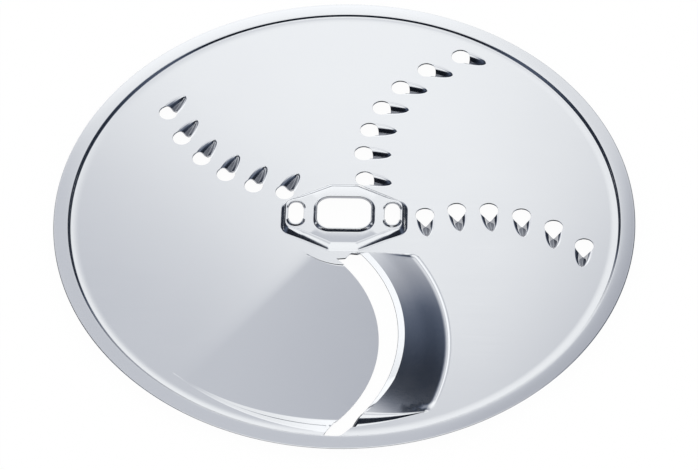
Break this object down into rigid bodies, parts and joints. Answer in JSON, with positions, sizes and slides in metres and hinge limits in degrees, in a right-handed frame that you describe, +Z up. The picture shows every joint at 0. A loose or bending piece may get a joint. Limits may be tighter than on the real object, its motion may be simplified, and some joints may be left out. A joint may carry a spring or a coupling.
{
  "type": "food processor disc",
  "caption": "Flat stainless steel disc with a raised rim, curved rows of scooped grating teeth, a sickle-shaped slicing slot with a raised bevelled edge, and a hub boss with a drive opening.",
  "frame": {"origin": "centre of the disc, on the surface that the teeth rest on", "axes": "+Z up out of the cutting side, X along the hub's long axis through both latch openings"},
  "size_m": [0.18, 0.18, 0.0058],
  "materials": {
    "stainless_steel": "fine satin polish, bright ground bevel at the cutting edge"
  },
  "bodies": {
    "root": {"disc": "stainless_steel"}
  },
  "joints": []
}
